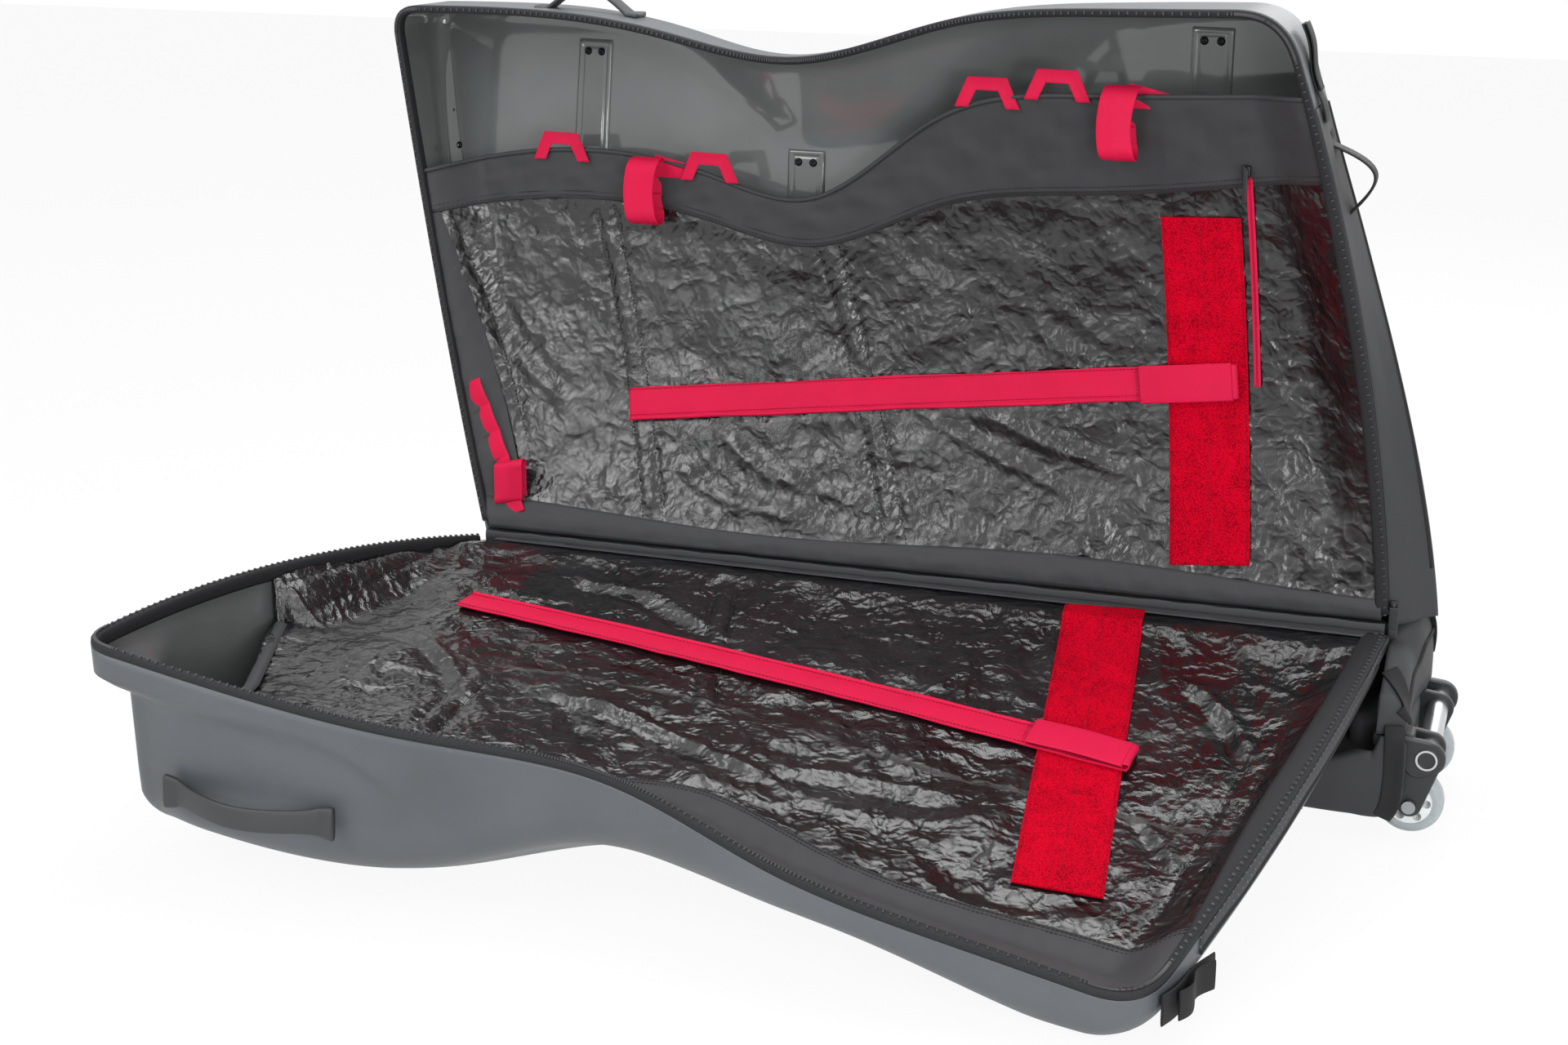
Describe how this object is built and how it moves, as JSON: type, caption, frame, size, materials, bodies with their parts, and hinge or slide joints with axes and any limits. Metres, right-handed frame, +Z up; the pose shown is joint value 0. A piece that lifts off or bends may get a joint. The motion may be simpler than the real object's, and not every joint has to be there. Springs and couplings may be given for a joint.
{
  "type": "bike travel case",
  "caption": "Two-part bike travel case with hard charcoal shells, black tarpaulin liners, red straps and trolley wheels, shown open.",
  "frame": {"origin": "on the floor, under the middle of the fabric hinge", "axes": "+X along the hinge towards the wheels, +Y to the back of the standing half, +Z up"},
  "size_m": [1.2581, 0.8579, 0.829],
  "materials": {
    "shell_plastic": "satin moulded charcoal, glossier inside",
    "case_fabric": "matt black woven nylon",
    "zip_band": "matt black zip tape",
    "zip_teeth": "black coil",
    "liner_tarp": "shiny crinkled woven tarpaulin",
    "red_pile": "brushed loop pile",
    "red_webbing": "flat woven nylon",
    "black_webbing": "ribbed webbing",
    "handle_rubber": "soft moulded satin",
    "rib_metal": "gloss",
    "black_screws": "satin black",
    "base_plastic": "fine moulded grain",
    "tyre_pu": "pale grey, slightly glossy",
    "hub_plastic": "white",
    "bearing_steel": "turned",
    "grip_aluminium": "satin anodised",
    "slider_metal": "satin black"
  },
  "bodies": {
    "back_half": {"axle_bolt_far": "bearing_steel", "axle_bolt_near": "bearing_steel", "back_closing_strap": "black_webbing", "back_handle": "handle_rubber", "back_hinge_tape": "case_fabric", "back_liner": "liner_tarp", "back_liner_border": "case_fabric", "back_long_strap": "red_webbing", "back_pile_panel": "red_pile", "back_rib_left": "rib_metal", "back_rib_middle": "rib_metal", "back_rib_right": "rib_metal", "back_rib_screws": "black_screws", "back_rivets": "black_screws", "back_shell": "shell_plastic", "back_side_panel": "case_fabric", "back_strap_end": "red_webbing", "back_zip_band": "zip_band", "back_zip_chain": "zip_teeth", "base_board": "base_plastic", "base_runner": "base_plastic", "base_tub": "case_fabric", "daisy_chain": "red_webbing", "daisy_loop": "red_webbing", "grip_tube": "grip_aluminium", "hanging_loop_left": "red_webbing", "hanging_loop_right": "red_webbing", "main_zip_slider": "slider_metal", "pocket_zip_tape": "red_webbing", "side_grab_loop": "black_webbing", "small_loops": "red_webbing", "wheel_bracket_far": "base_plastic", "wheel_bracket_near": "base_plastic"},
    "front_half": {"front_closing_strap": "black_webbing", "front_handle": "handle_rubber", "front_hinge_tape": "case_fabric", "front_liner": "liner_tarp", "front_liner_border": "case_fabric", "front_long_strap": "red_webbing", "front_pile_panel": "red_pile", "front_rivets": "black_screws", "front_shell": "shell_plastic", "front_side_panel": "case_fabric", "front_strap_end": "red_webbing", "front_zip_band": "zip_band", "front_zip_chain": "zip_teeth"},
    "wheel_near": {"wheel_tyre_near": "tyre_pu", "wheel_hub_near": "hub_plastic", "wheel_bearings_near": "bearing_steel"},
    "wheel_far": {"wheel_tyre_far": "tyre_pu", "wheel_hub_far": "hub_plastic", "wheel_bearings_far": "bearing_steel"},
    "pocket_slider": {"pocket_zip_slider": "slider_metal"},
    "pocket_pull": {"pocket_zip_pull": "slider_metal"},
    "main_pull": {"main_zip_pull": "slider_metal"}
  },
  "joints": [
    {"name": "front_fold", "type": "hinge", "parent": "back_half", "child": "front_half", "pos_m": [0, 0, 0.191], "axis": [-1, 0, 0], "range_deg": [0, 94.25]},
    {"name": "wheel_near_spin", "type": "hinge", "parent": "back_half", "child": "wheel_near", "pos_m": [0.56, -0.075, 0.034], "axis": [0, 1, 0], "continuous": true},
    {"name": "wheel_far_spin", "type": "hinge", "parent": "back_half", "child": "wheel_far", "pos_m": [0.56, 0.075, 0.034], "axis": [0, 1, 0], "continuous": true},
    {"name": "pocket_zip_run", "type": "slide", "parent": "back_half", "child": "pocket_slider", "axis": [0.0794, 0.1252, -0.9889], "range_m": [0, 0.2236]},
    {"name": "pocket_pull_swing", "type": "hinge", "parent": "pocket_slider", "child": "pocket_pull", "pos_m": [0.344, 0.00696, 0.66104], "axis": [-1, 0, 0], "range_deg": [0, 90]},
    {"name": "main_pull_swing", "type": "hinge", "parent": "back_half", "child": "main_pull", "pos_m": [0.52417, 0.00057, 0.21301], "axis": [-1, 0, 0], "range_deg": [0, 90]}
  ]
}
